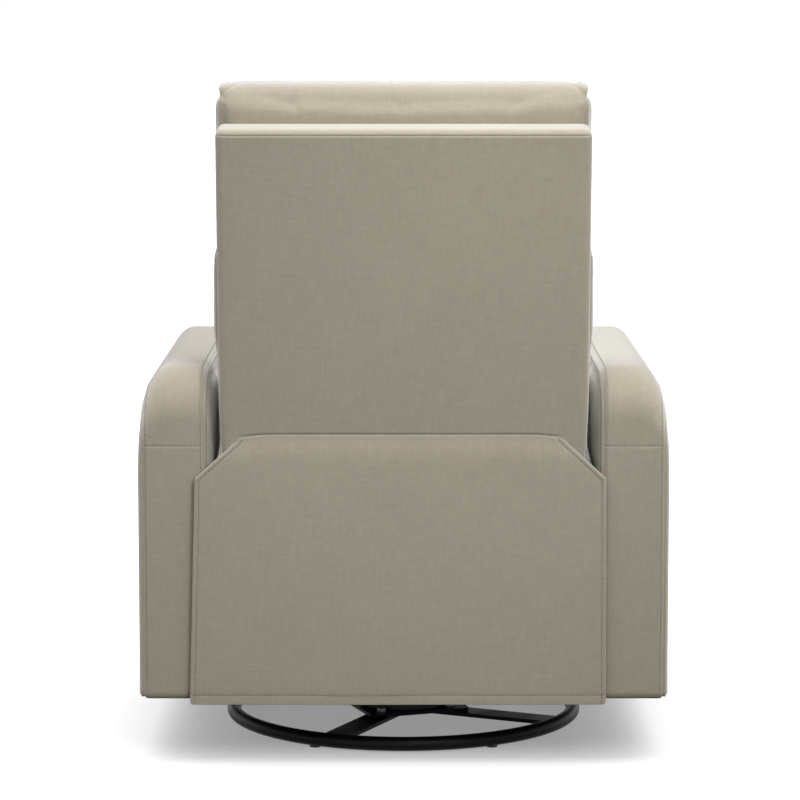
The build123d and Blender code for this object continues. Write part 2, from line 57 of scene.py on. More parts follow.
# Studio light: the sky's strength by direction, the floor as a light and as it is seen, and one lamp
SKY_TOP = 3.75
SKY_TOP_POWER = 4.0
SKY_FLANK = 0.8
SKY_FRONT = 0.3
SKY_SIDE = 0.12
FLOOR_SIZE = 80.0
FLOOR_BOUNCE = 0.04
FLOOR_SEEN = 0.70
FLOOR_LIFT = 0.28
KEY_PLACE = (-0.6, 1.9, 1.45)
KEY_AIM = (0.0, 0.4, 0.72)
KEY_SPREAD = 70.0
KEY_SIZE = 0.9
KEY_POWER = 3.25

# Colours, linear
CLOTH = (0.388, 0.348, 0.270)
# Thread, darker than the cloth: painted shade that stands for the shadow in the stitch holes
THREAD_WITH_PAINTED_SHADE = (0.15, 0.135, 0.10)
WEBBING = (0.05, 0.05, 0.05)
FELT = (0.35, 0.34, 0.32)
BLACK_STEEL = (0.005, 0.005, 0.0052)
ZINC = (0.33, 0.33, 0.34)
BLACK_NYLON = (0.016, 0.016, 0.016)
PLYWOOD = (0.52, 0.36, 0.20)

# Cloth pattern: noise scales, shares of the shade, and how each noise is drawn out along the two directions
YARN_SCALE = 620.0
STREAK_SCALE = 260.0
CLOUD_SCALE = 7.0
WEFT_SHARE = 1.2
WARP_SHARE = 0.8
STREAK_SHARE = 0.9
WEAVE_SHARE = 0.035
WEFT_DRAW = (0.16, 1.0, 0.0)
WARP_DRAW = (1.0, 0.14, 0.7)
STREAK_DRAWS = ((0.10, 1.0, 0.0), (1.0, 0.10, 5.0))
CLOTH_TURN = 0.7
YARN_RELIEF = 0.8
GRAIN_DRAW = 0.08

# Seams and stitches, in metres; a groove is given as its depth and its width
SEAM = (0.0024, 0.0022)
END_SEAM = (0.0022, 0.0035)
END_SEAM_INSET = 0.011
STITCH_PITCH = 0.0056
STITCH_LENGTH = 0.0036
STITCH_RADIUS = 0.0006
STITCH_OFFSET = 0.0045
STITCH_LIFT = 0.6
STITCH_DIP = 0.7
STITCH_RINGS = ((-0.5, 0.25), (-0.3, 1.0), (0.3, 1.0), (0.5, 0.25))
STITCH_SINK = (0.0008, 0.0011)

# Mesh lines of the rounded boxes
CORNER_STEPS = 6
MARK_LINES = (-0.005, 0.005, 11)
LEAST_LINE_GAP = 0.0003
TINY = 1e-9

# Arms
ARM_END_RADIUS = 0.075
ARM_SHOULDER = (0.046, 0.088)
ARM_INNER_RADIUS = 0.018
ARM_EDGE_RADIUS = 0.012
ARM_PANEL_BULGE = (0.0095, 0.002)
ARM_PANEL_RINGS = (0.99, 0.975, 0.96, 0.94, 0.92, 0.89, 0.85, 0.76, 0.66, 0.54, 0.40, 0.25, 0.10)
ARM_PANEL_POWER = 14
ARM_SWELL_END = (0.07, 0.17)
ARM_SWELL_FOOT = (0.42, 0.47)
ARM_SEAM_INSET = 0.0065
ARM_SEAM_LINES = (-0.0065, 0.0075, 15)
ARM_CROSS_SEAM_Z = 0.4863
ARM_CROSS_SEAM = (0.0006, 0.0016)
ARM_CROSS_LINES = (-0.006, 0.006, 13)
ARM_CROSS_LINE_GAP = 0.0007
ARM_UPRIGHT = 0.95
ARM_INNER_STEPS = 16
ARM_SHOULDER_STEPS = 22
ARM_TOP_STEPS = 6
ARM_TURN_STEPS = 18
ARM_RISE_POINTS = 60
ARM_CROWN_POINTS = 70
ARM_FOOT_POINTS = 50
ARM_FOOT_SHARE = 0.4
ARM_FOOT_GAP = 0.004

# Back shell; its top is given in Y and Z
SHELL_TOP = (0.415, 0.963)
SHELL_EDGE_RADIUS = 0.012
SHELL_SPACING = 0.010
SHELL_RIM = 0.0085
SHELL_RIM_SEAM = (0.0015, 0.0011)
SHELL_FLAP_SEAM = (0.0022, 0.0016)
SHELL_FLAP_SEAM_MARGIN = 0.004
SHELL_FLAP_MARKS = (-0.004, 0.0)
SHELL_TAPER = (0.144, 0.0095)
SHELL_TO_FLAP = 0.001

# Rear flap; its half width is given at the seam, the shoulder and the hem
FLAP_THICK = 0.003
FLAP_SUNK = 0.0025
FLAP_HALF = (0.242, 0.3095, 0.315)
FLAP_SHOULDER_Z = 0.439
FLAP_CORNER = 0.005
FLAP_DROOP = 0.005
FLAP_DROOP_START = 0.80
FLAP_SWING = (0.004, 0.0045)
FLAP_EDGE_STITCH = 0.0068
FLAP_HEM_STITCH = 0.0145
FLAP_STITCH_SINK = (0.0005, 0.0012)
FLAP_TUCKS = ((0.0012, 0.0012), (0.0045, 0.022))
FLAP_FOLD = (0.0003, 0.002)
FLAP_EDGE_ROUND = (0.0016, 0.0012)
FLAP_RIPPLES = ((0.0012, 9.0, 0.8, 1), (0.0008, 23.0, 0.0, 2))
FLAP_HEM_LINES = (0, 0.0007, 0.0015, 0.003, 0.005, 0.008, 0.012, 0.0133, 0.0145, 0.0157, 0.018, 0.024)
FLAP_EDGE_LINES = (0, 0.0006, 0.0015, 0.003, 0.0045, 0.0056, 0.0062, 0.0068, 0.0074, 0.008, 0.0095,
                   0.012, 0.017)
FLAP_INNER_LINES = (0.025, 0.2, 24)
FLAP_BODY_LINES = (0.030, 0.002, 44)
FLAP_TOP_LINES = 30
FLAP_TOP_POWER = 1.6
FLAP_SLANT_STRETCH = 1.4
FLAP_SIDE_ROW = (0.002, 0.004, 60, 24)
FLAP_HEM_ROW = (0.003, 90)

# Cushions
CUSHION_SPACING = 0.014
END_STITCH_POINTS = 80
PUFF_VOXEL = 0.0055
PUFF_PRESSURE = 4.0
PUFF_QUALITY = 4
PUFF_FRAMES = 20
PILLOW_SQUARE = 6.0
PILLOW_NOD = math.radians(1.5)
PILLOW_CROWN = 0.003
PILLOW_NOTCH = 0.020
PILLOW_SEAM_TURN = 0.030
PILLOW_SEAM_FADE = (0.012, 0.2)
PILLOW_PINCH = (0.0050, 0.007)
PILLOW_PINCH_REACH = 0.022
LOWER_BACK_HALF = ((-0.038, 0.272), (-0.018, 0.2820), (0.068, 0.2826), (0.140, 0.2885), (0.270, 0.2870))
LOWER_BACK_TAIL = 0.014
FOOTREST_WRAP = 0.010


class Graph:
    """Small helper that adds shader nodes to one material or world."""

    def __init__(self, tree):
        self.tree = tree
        tree.nodes.clear()

    def put(self, socket, value):
        if isinstance(value, bpy.types.NodeSocket):
            self.tree.links.new(value, socket)
        else:
            socket.default_value = value

    def fill(self, node, **values):
        """Sets a node's own settings and its inputs, whose names have _ for a space."""
        for key, value in values.items():
            if hasattr(node, key):
                setattr(node, key, value)
            else:
                self.put(node.inputs[key.replace("_", " ")], value)
        return node

    def add(self, kind, **values):
        return self.fill(self.tree.nodes.new(kind), **values)

    def math(self, operation, first, second=0.0, third=0.0):
        made = self.add("ShaderNodeMath", operation=operation)
        for socket, value in zip(made.inputs, (first, second, third)):
            self.put(socket, value)
        return made.outputs[0]

    def pick(self, factor, low, high):
        """low where factor is 0 and high where it is 1."""
        return self.math("MULTIPLY_ADD", factor, self.math("SUBTRACT", high, low), low)

    def vary(self, level, pattern, amount):
        """The level, moved up and down by a pattern that runs from 0 to 1."""
        return self.math("MULTIPLY_ADD", pattern, amount, self.math("SUBTRACT", level, amount / 2))

    def vector(self, x, y, z):
        return self.add("ShaderNodeCombineXYZ", X=x, Y=y, Z=z).outputs[0]

    def split(self, vector):
        return self.add("ShaderNodeSeparateXYZ", Vector=vector).outputs

    def place(self):
        return self.add("ShaderNodeTexCoord").outputs["Object"]

    def noise(self, place, scale, detail=2.0):
        return self.add("ShaderNodeTexNoise", Vector=place, Scale=scale, Detail=detail).outputs["Fac"]

    def tint(self, colour, factor):
        """The colour times a factor that varies over the surface."""
        made = self.add("ShaderNodeMix", data_type="RGBA", blend_type="MULTIPLY")
        self.put(made.inputs[0], 1.0)
        self.put(made.inputs[6], (*colour, 1.0))
        self.put(made.inputs[7], factor)
        return made.outputs[2]

    def relief(self, height, strength, depth):
        return self.add("ShaderNodeBump", Strength=strength, Distance=depth, Height=height).outputs[0]

    def seen(self):
        """1 for what the camera sees, straight, mirrored or through glass, and 0 for light on the object."""
        path = self.add("ShaderNodeLightPath").outputs
        straight = self.math("MAXIMUM", path["Is Camera Ray"], path["Is Glossy Ray"])
        return self.math("MAXIMUM", straight, path["Is Transmission Ray"])


def new_material(name):
    material = bpy.data.materials.new(name)
    material.use_nodes = True
    graph = Graph(material.node_tree)
    shader = graph.add("ShaderNodeBsdfPrincipled")
    graph.add("ShaderNodeOutputMaterial", Surface=shader.outputs[0])
    return material, graph, shader


def cloth_directions(graph):
    """Two directions along the cloth, taken from the side that the surface faces."""
    place = graph.add("ShaderNodeTexCoord")
    spot = graph.split(place.outputs["Object"])
    facing = graph.split(place.outputs["Normal"])
    sideways = graph.math("GREATER_THAN", graph.math("ABSOLUTE", facing[0]), CLOTH_TURN)
    upward = graph.math("GREATER_THAN", graph.math("ABSOLUTE", facing[2]), CLOTH_TURN)
    return graph.pick(sideways, spot[0], spot[1]), graph.pick(upward, spot[2], spot[1])


def drawn_out(graph, directions, draw):
    """A place along the cloth, scaled in both directions, in one slice of the noise."""
    across, along = (graph.math("MULTIPLY", way, factor) for way, factor in zip(directions, draw))
    return graph.vector(across, along, draw[2])


def woven(name, colour, pitch=0.0013, slub=0.16, mottle=0.10, sheen=1.0, bump=0.35):
    """Woven cloth with thick and thin yarns, slow shade changes and a soft sheen."""
    material, graph, shader = new_material(name)
    directions = cloth_directions(graph)
    waves = [graph.math("SINE", graph.math("MULTIPLY", way, math.pi / pitch)) for way in directions]
    weave = graph.math("MULTIPLY", *waves)
    weft = graph.noise(drawn_out(graph, directions, WEFT_DRAW), YARN_SCALE)
    warp = graph.noise(drawn_out(graph, directions, WARP_DRAW), YARN_SCALE)
    shade = graph.vary(1.0, weft, slub * WEFT_SHARE)
    shade = graph.vary(shade, warp, slub * WARP_SHARE)
    shade = graph.vary(shade, graph.noise(graph.place(), CLOUD_SCALE, detail=3.0), mottle)
    shade = graph.math("MULTIPLY_ADD", weave, WEAVE_SHARE, shade)
    for draw in STREAK_DRAWS:
        streak = graph.noise(drawn_out(graph, directions, draw), STREAK_SCALE, detail=1.0)
        shade = graph.vary(shade, streak, slub * STREAK_SHARE)
    height = graph.math("MULTIPLY_ADD", graph.math("ADD", weft, warp), YARN_RELIEF, weave)
    graph.fill(shader, Base_Color=graph.tint(colour, shade), Normal=graph.relief(height, bump, depth=0.0004),
               Roughness=0.92, Specular_IOR_Level=0.25, Sheen_Weight=sheen, Sheen_Roughness=0.45)
    return material


def coated_metal(name, colour, roughness, metallic=0.0, specular=0.5):
    """Powder coat or plating with a fine orange-peel surface and uneven gloss."""
    material, graph, shader = new_material(name)
    peel = graph.noise(graph.place(), scale=900.0)
    patch = graph.noise(graph.place(), scale=22.0, detail=4.0)
    graph.fill(shader, Base_Color=graph.tint(colour, graph.vary(1.0, patch, amount=0.30)),
               Normal=graph.relief(peel, strength=0.12, depth=0.0002),
               Roughness=graph.vary(roughness, patch, amount=0.22),
               Metallic=metallic, Specular_IOR_Level=specular)
    return material


def plywood(name, colour):
    """Raw ply with long grain and pale and dark streaks."""
    material, graph, shader = new_material(name)
    spot = graph.split(graph.place())
    place = graph.vector(graph.math("MULTIPLY", spot[0], GRAIN_DRAW), spot[1], spot[2])
    grain = graph.noise(place, scale=260.0, detail=4.0)
    graph.fill(shader, Base_Color=graph.tint(colour, graph.vary(1.0, grain, amount=0.7)),
               Normal=graph.relief(grain, strength=0.2, depth=0.0003), Roughness=0.7)
    return material


def nylon(name, colour):
    """Moulded plastic with a fine spark finish."""
    material, graph, shader = new_material(name)
    grain = graph.noise(graph.place(), scale=1500.0)
    patch = graph.noise(graph.place(), scale=40.0)
    graph.fill(shader, Base_Color=graph.tint(colour, graph.vary(1.0, patch, amount=0.3)),
               Normal=graph.relief(grain, strength=0.25, depth=0.0002), Roughness=0.55)
    return material


MATERIALS = {
    "upholstery": woven("upholstery_cloth", CLOTH),
    "webbing": woven("elastic_webbing", WEBBING, pitch=0.003, bump=0.6),
    "felt": woven("deck_felt", FELT, pitch=0.002, slub=0.3, bump=0.5),
    "black_steel": coated_metal("black_powder_coat", BLACK_STEEL, 0.40, specular=0.12),
    "zinc_steel": coated_metal("zinc_plating", ZINC, 0.42, metallic=1.0),
    "black_nylon": nylon("black_nylon", BLACK_NYLON),
    "plywood": plywood("raw_plywood", PLYWOOD),
    # the thread's dark colour is painted shade of the stitch holes
    "thread": woven("sewing_thread", THREAD_WITH_PAINTED_SHADE, pitch=0.0008, slub=0.05, mottle=0.05),
}


def mesh_object(name, points, faces, finish):
    mesh = bpy.data.meshes.new(name)
    mesh.from_pydata([tuple(p) for p in points], [], [tuple(f) for f in faces])
    mesh.validate()
    mesh.update()
    mesh.polygons.foreach_set("use_smooth", [True] * len(mesh.polygons))
    made = bpy.data.objects.new(name, mesh)
    bpy.context.scene.collection.objects.link(made)
    made.data.materials.append(MATERIALS[finish])
    return made


def dress(piece, body, slot, *nodes):
    """The piece rides on a body and stands for some nodes, which are hidden; the slot is not used."""
    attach(piece, body)
    if nodes:
        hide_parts(*nodes)


def unit(vectors):
    return vectors / np.maximum(np.linalg.norm(vectors, axis=1, keepdims=True), TINY)


def quarter(steps):
    return np.linspace(0, math.pi / 2, steps)


def fade(value, start, end):
    """Smooth step from 0 at start to 1 at end."""
    share = np.clip((value - start) / (end - start), 0, 1)
    return share ** 2 * (3 - 2 * share)


def groove(distance, depth, width):
    """Depth of a seam's round-bottomed groove at a distance from its line."""
    return depth * np.exp(-(np.asarray(distance) / width) ** 2)


def round_drop(share, height):
    """Drop of a rounded edge, from 0 at share 0 to its full height at share 1."""
    return height * (1 - np.sqrt(1 - share ** 2))


def box_lines(low, high, radius, spacing, marks):
    """Mesh lines along one side of a rounded box, closer together in the corners and beside marks."""
    inner = max(2, int(round((high - low - 2 * radius) / spacing)) + 1)
    middle = np.linspace(low + radius, high - radius, inner)
    corner = radius * (1 - np.cos(quarter(CORNER_STEPS)))
    close = [mark + step for mark in marks for step in np.linspace(*MARK_LINES)]
    lines = np.concatenate([low + corner[:-1], middle, high - corner[:-1], close])
    lines = np.unique(np.round(lines, 6))
    return lines[np.concatenate([[True], np.diff(lines) > LEAST_LINE_GAP])]


def rounded_box(low, high, radius, spacing, marks=((), (), ())):
    """Points and faces of a closed box with round edges, with finer mesh beside marks on each axis."""
    low = np.array(low)
    high = np.array(high)
    lines = [box_lines(low[i], high[i], radius, spacing, marks[i]) for i in range(3)]
    counts = [len(line) for line in lines]
    index = {}
    points = []

    def point(key):
        if key not in index:
            index[key] = len(points)
            points.append([lines[i][key[i]] for i in range(3)])
        return index[key]

    faces = []
    for axis in range(3):
        first, second = [i for i in range(3) if i != axis]
        for end in (0, counts[axis] - 1):
            for i in range(counts[first] - 1):
                for j in range(counts[second] - 1):
                    quad = []
                    for di, dj in ((0, 0), (1, 0), (1, 1), (0, 1)):
                        key = [0, 0, 0]
                        key[axis] = end
                        key[first] = i + di
                        key[second] = j + dj
                        quad.append(point(tuple(key)))
                    outward = (end > 0) == (axis != 1)
                    faces.append(quad if outward else quad[::-1])
    points = np.array(points)
    core = np.clip(points, low + radius, high - radius)
    reach = points - core
    length = np.linalg.norm(reach, axis=1, keepdims=True)
    rounded = core + radius * reach / np.maximum(length, TINY)
    return np.where(length > TINY, rounded, points), faces


def resample(path, normals, pitch):
    """Points along a path at even steps, with the direction and the normal at each."""
    path = np.array(path)
    steps = np.linalg.norm(np.diff(path, axis=0), axis=1)
    travel = np.concatenate([[0], np.cumsum(steps)])
    count = max(2, int(travel[-1] / pitch))
    marks = (np.arange(count) + 0.5) * travel[-1] / count

    def along(values, at):
        return np.stack([np.interp(at, travel, values[:, i]) for i in range(3)], axis=1)

    heading = along(path, marks + pitch / 2) - along(path, marks - pitch / 2)
    normal = along(np.array(normals), marks)
    return along(path, marks), unit(heading), unit(normal)


def stitches(name, rows, body):
    """Thread stitches along each row, a path and the cloth's normals on it."""
    points = []
    faces = []
    for path, normals in rows:
        for spot, heading, normal in zip(*resample(path, normals, STITCH_PITCH)):
            across = np.cross(heading, normal)
            centre = spot + normal * STITCH_RADIUS * STITCH_LIFT
            base = len(points)
            tips = (STITCH_RINGS[0], STITCH_RINGS[-1])
            for end, scale in STITCH_RINGS:
                dip = STITCH_DIP * STITCH_RADIUS * ((end, scale) in tips)
                for side, rise in ((1, 0), (0, 1), (-1, 0), (0, -1)):
                    offset = (across * side + normal * rise) * scale * STITCH_RADIUS
                    points.append(centre + heading * end * STITCH_LENGTH + offset - normal * dip)
            for ring in range(len(STITCH_RINGS) - 1):
                for k in range(4):
                    a = base + ring * 4 + k
                    b = base + ring * 4 + (k + 1) % 4
                    faces.append((a, b, b + 4, a + 4))
            faces.append((base + 3, base + 2, base + 1, base))
            faces.append((base + 12, base + 13, base + 14, base + 15))
    made = mesh_object(name, points, faces, "thread")
    dress(made, body, "upholstery")
    return made


def arm_section(low_x, high_x):
    """Places across one arm from its inner side, the drops and seam depths there, and the stitch rows."""
    inner = low_x + ARM_INNER_RADIUS * (1 - np.cos(quarter(ARM_INNER_STEPS)))
    outer = high_x - ARM_SHOULDER[0] * (1 - np.sin(quarter(ARM_SHOULDER_STEPS)))
    middle = np.linspace(inner[-1], outer[0], ARM_TOP_STEPS)[1:-1]
    seams = [low_x + ARM_SEAM_INSET, high_x - ARM_SEAM_INSET]
    close = np.concatenate([seam + np.linspace(*ARM_SEAM_LINES) for seam in seams])
    places = np.unique(np.round(np.concatenate([inner, middle, outer, close]), 6))
    inner_part = np.clip((low_x + ARM_INNER_RADIUS - places) / ARM_INNER_RADIUS, 0, 1)
    outer_part = np.clip((places - (high_x - ARM_SHOULDER[0])) / ARM_SHOULDER[0], 0, 1)
    tops = round_drop(inner_part, ARM_INNER_RADIUS) + round_drop(outer_part, ARM_SHOULDER[1])
    edge = np.clip(1 - np.minimum(places - low_x, high_x - places) / ARM_EDGE_RADIUS, 0, 1)
    ends = round_drop(edge, ARM_EDGE_RADIUS)
    rows = [seams[0] - STITCH_OFFSET, seams[0] + STITCH_OFFSET, seams[1] - STITCH_OFFSET]
    depths = sum(groove(places - seam, *SEAM) for seam in seams)
    depths = depths + sum(groove(places - row, *STITCH_SINK) for row in rows)
    return places, tops, ends, depths, rows


def arm_loop(low, high, top, end, depth, in_strip):
    """Side outline of the arm at one place across it, as points in Y and Z."""
    radius = ARM_END_RADIUS
    y0 = low[1] + end
    y1 = high[1] - end
    z0 = low[2] + end * ARM_FOOT_SHARE
    z1 = high[2] - top
    near_seam = ARM_CROSS_SEAM_Z + np.linspace(*ARM_CROSS_LINES)
    below_turn = z1 - radius - ARM_CROSS_LINE_GAP * np.arange(len(near_seam), 0, -1)
    rise = np.linspace(z0 + ARM_FOOT_GAP, z1 - radius, ARM_RISE_POINTS)
    rise = np.sort(np.concatenate([rise, np.minimum(near_seam, below_turn)]))
    crown = np.linspace(y0 + radius, y1 - radius, ARM_CROWN_POINTS)
    foot = np.linspace(y1 - ARM_FOOT_GAP, y0 + ARM_FOOT_GAP, ARM_FOOT_POINTS)
    sine = radius * np.sin(quarter(ARM_TURN_STEPS))
    cosine = radius * np.cos(quarter(ARM_TURN_STEPS))
    front = np.column_stack([np.full(len(rise), y0), rise])
    front_turn = np.column_stack([y0 + radius - cosine, z1 - radius + sine])
    flat = np.column_stack([crown, np.full(len(crown), z1)])
    rear_turn = np.column_stack([y1 - radius + sine, z1 - radius + cosine])
    rear = np.column_stack([np.full(len(rise), y1), rise[::-1]])
    base = np.column_stack([foot, np.full(len(foot), z0)])
    loop = np.concatenate([front, front_turn[1:], flat[1:], rear_turn[1:], rear[1:], base])
    ahead = np.roll(loop, -1, axis=0) - np.roll(loop, 1, axis=0)
    normal = unit(np.column_stack([-ahead[:, 1], ahead[:, 0]]))
    upright = np.abs(normal[:, 0]) > ARM_UPRIGHT
    cross = in_strip * upright * groove(loop[:, 1] - ARM_CROSS_SEAM_Z, *ARM_CROSS_SEAM)
    return loop - normal * (depth + cross)[:, None]


def arm_panel(edge, bulge):
    """Rings that close one side of the arm, with a swell towards its rear and top."""
    centre = edge.mean(axis=0)
    rings = []
    for share in ARM_PANEL_RINGS:
        ring = centre + (edge - centre) * share
        place = fade(ring[:, 1], *ARM_SWELL_END) * fade(ring[:, 2], *ARM_SWELL_FOOT)
        ring[:, 0] += bulge * (1 - share ** ARM_PANEL_POWER) * place
        rings.append(ring)
    return rings


def closed_tube(rings, flip):
    """Faces over rings of as many points each, with both ends closed."""
    count = len(rings[0])
    faces = []
    for i in range(len(rings) - 1):
        for j in range(count):
            k = (j + 1) % count
            faces.append((i * count + j, i * count + k, (i + 1) * count + k, (i + 1) * count + j))
    faces.append(tuple(range(count))[::-1])
    faces.append(tuple(range((len(rings) - 1) * count, len(rings) * count)))
    return [face[::-1] for face in faces] if flip else faces


def make_arm(side):
    node = f"arm_cover_{side}"
    low, high = (np.array(corner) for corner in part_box(node))
    sign = 1.0 if low[0] > 0 else -1.0
    inner, outer = sorted((abs(low[0]), abs(high[0])))
    places, tops, ends, depths, rows = arm_section(inner, outer)
    loops = []
    for x, top, end, depth in zip(places, tops, ends, depths):
        in_strip = float(inner + ARM_SEAM_INSET <= x <= outer - ARM_SEAM_INSET)
        loop = arm_loop(low, high, top, end, depth, in_strip)
        loops.append(np.column_stack([np.full(len(loop), x), loop]))
    inner_panel = arm_panel(loops[0], -ARM_PANEL_BULGE[0])
    outer_panel = arm_panel(loops[-1], ARM_PANEL_BULGE[1])
    rings = np.array(inner_panel[::-1] + loops + outer_panel)
    rings[:, :, 0] *= sign
    faces = closed_tube(rings, flip=sign > 0)
    arm = mesh_object(f"arm_{side}", rings.reshape(-1, 3), faces, "upholstery")
    dress(arm, "chassis", "upholstery", node)

    normals = np.array([vertex.normal[:] for vertex in arm.data.vertices]).reshape(rings.shape)
    above_foot = slice(0, rings.shape[1] - ARM_FOOT_POINTS)
    picked = [len(inner_panel) + int(np.argmin(np.abs(places - row))) for row in rows]
    sewn = [(rings[i, above_foot], normals[i, above_foot]) for i in picked]
    stitches(f"arm_stitching_{side}", sewn, "chassis")


def lean_frame():
    """Place and tilt of the back: its rear face runs from the flap seam to the top of the shell."""
    seam = np.array([0.0, FLAP_LOW[1] - SHELL_TO_FLAP, FLAP_HIGH[2]])
    return seam, math.atan2(SHELL_TOP[0] - seam[1], SHELL_TOP[1] - seam[2])


SEAM_POINT, TILT = lean_frame()


def lean(points):
    """Points drawn upright, with the rear face at y 0 and the flap seam at z 0, put where the back is."""
    points = np.array(points, dtype=float)
    y = points[:, 1] * math.cos(TILT) + points[:, 2] * math.sin(TILT)
    z = -points[:, 1] * math.sin(TILT) + points[:, 2] * math.cos(TILT)
    return np.column_stack([points[:, 0], y, z]) + SEAM_POINT


def upright_box(node):
    """Low and high corners of a back node before it is leaned."""
    mesh = NODES[node].data
    points = np.zeros(len(mesh.vertices) * 3)
    mesh.vertices.foreach_get("co", points)
    away = points.reshape(-1, 3) - SEAM_POINT
    y = away[:, 1] * math.cos(TILT) - away[:, 2] * math.sin(TILT)
    z = away[:, 1] * math.sin(TILT) + away[:, 2] * math.cos(TILT)
    turned = np.column_stack([away[:, 0], y, z])
    return turned.min(axis=0), turned.max(axis=0)


def make_shell():
    low, high = upright_box("back_shell")
    rim = high[2] - SHELL_RIM
    marks = ((), (), (*SHELL_FLAP_MARKS, rim))
    points, faces = rounded_box(low, high, SHELL_EDGE_RADIUS, SHELL_SPACING, marks)
    height = points[:, 2].copy()
    rear = np.clip((points[:, 1] - high[1] + SHELL_EDGE_RADIUS) / SHELL_EDGE_RADIUS, 0, 1)
    points[:, 1] -= groove(height - rim, *SHELL_RIM_SEAM) * rear
    across = points[:, 0] - FLAP_SWING[0]
    under_flap = np.abs(across) < FLAP_HALF[0] - SHELL_FLAP_SEAM_MARGIN
    points[:, 1] -= groove(height + flap_droop(across), *SHELL_FLAP_SEAM) * under_flap * rear
    narrow = np.clip(1 - (height - low[2]) / SHELL_TAPER[0], 0, 1)
    points[:, 0] *= 1 - narrow ** 2 * SHELL_TAPER[1] / high[0]
    shell = mesh_object("back_shell_cover", lean(points), faces, "upholstery")
    dress(shell, "backrest", "upholstery", "back_shell")


def half_width(halves, heights, high):
    """Half of a cushion's width at heights, from a table of both or else the same all the way up."""
    if halves is None:
        return np.full(len(heights), high[0])
    return np.interp(heights, *zip(*halves))


def end_seams(points, low, high, half):
    """Depth of the seams beside a cushion's two ends."""
    return groove(half - np.abs(points[:, 0]) - END_SEAM_INSET, *END_SEAM)


def level_rise(points, low, high):
    """Rise that makes the leaning pillow's top level."""
    return (points[:, 1] - (low[1] + high[1]) / 2) * math.tan(TILT + PILLOW_NOD) + PILLOW_CROWN


def level_top(points, low, high):
    middle = (low[2] + high[2]) / 2
    share = np.clip((points[:, 2] - middle) / (high[2] - middle), 0, 1)
    return np.column_stack([points[:, :2], points[:, 2] + share * level_rise(points, low, high)])


def pillow_seams(points, low, high, half):
    """End seams that pinch in near the top corners and run on over the top in a curve."""
    from_end = half - np.abs(points[:, 0])
    from_top = high[2] + level_rise(points, low, high) - points[:, 2]
    rise = np.clip(1 - from_top / PILLOW_NOTCH, 0, 1)
    line = END_SEAM_INSET + PILLOW_SEAM_TURN * rise ** 2
    reach, least = PILLOW_SEAM_FADE
    depth = groove(from_end - line, *END_SEAM) * np.clip(from_top / reach, least, 1)
    pinch = groove(from_top - PILLOW_NOTCH, *PILLOW_PINCH)
    return depth + pinch * np.clip(1 - from_end / PILLOW_PINCH_REACH, 0, 1)


def puff(piece, cap):
    """Fills the cover with a short pressure simulation and keeps each point within cap of where it was."""
    bpy.context.view_layer.objects.active = piece
    piece.select_set(True)
    remesh = piece.modifiers.new("even", "REMESH")
    remesh.mode = "VOXEL"
    remesh.voxel_size = PUFF_VOXEL
    bpy.ops.object.modifier_apply(modifier=remesh.name)
    start = np.array([vertex.co[:] for vertex in piece.data.vertices])
    cloth = piece.modifiers.new("cloth", "CLOTH")
    cloth.settings.use_pressure = True
    cloth.settings.uniform_pressure_force = PUFF_PRESSURE
    cloth.settings.quality = PUFF_QUALITY
    cloth.settings.effector_weights.gravity = 0.0
    scene = bpy.context.scene
    for step in range(1, PUFF_FRAMES + 1):
        scene.frame_set(step)
    graph = bpy.context.evaluated_depsgraph_get()
    moved = np.array([vertex.co[:] for vertex in piece.evaluated_get(graph).data.vertices])
    shift = np.clip(moved - start, -cap, cap)
    piece.modifiers.remove(cloth)
    scene.frame_set(1)
    piece.data.vertices.foreach_set("co", (start + shift).ravel())
    piece.data.update()
    finer = piece.modifiers.new("finer", "SUBSURF")
    finer.levels = 1
    bpy.ops.object.modifier_apply(modifier=finer.name)
    piece.data.polygons.foreach_set("use_smooth", [True] * len(piece.data.polygons))
    piece.select_set(False)


def make_cushion(name, node, body, radius, swell, sewn, tilted=False, seams=end_seams, shape=None,
                 halves=None, square=1.0, tail=0.0, wrap=0.0):
    """A filled cover: a rounded box that a short simulation puffs up by swell, then drawn in along its seams.

    sewn has the corners of the stitch rows as shares of the depth and the height. square makes the radius at
    the ends smaller than along the edges. tail and wrap take the cover on downward and to the rear."""
    swell = np.array(swell)
    low, high = upright_box(node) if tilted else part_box(node)
    low = np.array(low) + swell - np.array([0.0, 0.0, tail])
    high = np.array(high) - swell + np.array([0.0, wrap, 0.0])
    stretch = np.array([square, 1.0, 1.0])
    points, faces = rounded_box(low * stretch, high * stretch, radius, CUSHION_SPACING)
    points /= stretch
    points[:, 0] *= half_width(halves, points[:, 2], high) / high[0]
    if shape:
        points = shape(points, low, high)
    piece = mesh_object(name, points, faces, "upholstery")
    puff(piece, swell)
    points = np.array([vertex.co[:] for vertex in piece.data.vertices])
    normals = np.array([vertex.normal[:] for vertex in piece.data.vertices])
    depth = seams(points, low, high, half_width(halves, points[:, 2], high))
    points = points - normals * depth[:, None]
    points = lean(points) if tilted else points
    piece.data.vertices.foreach_set("co", points.ravel())
    piece.data.update()
    dress(piece, body, "upholstery", node)

    legs = zip(sewn[:-1], sewn[1:])
    shares = np.concatenate([np.linspace(start, end, END_STITCH_POINTS) for start, end in legs])
    path = low[1:] + shares * (high[1:] - low[1:])
    reach = half_width(halves, path[:, 1], high) - END_SEAM_INSET - STITCH_OFFSET
    guides = [np.column_stack([sign * reach, path]) for sign in (1.0, -1.0)]
    rows = [on_cloth(piece, lean(guide) if tilted else guide) for guide in guides]
    stitches(name.replace("cover", "stitching"), rows, body)


def on_cloth(piece, guide):
    """The places on a piece nearest to the guide's points, and the piece's normals there."""
    skin = BVHTree.FromPolygons([vertex.co for vertex in piece.data.vertices],
                                [face.vertices for face in piece.data.polygons])
    found = [skin.find_nearest(Vector(point)) for point in guide]
    return [hit[0][:] for hit in found], [hit[1][:] for hit in found]


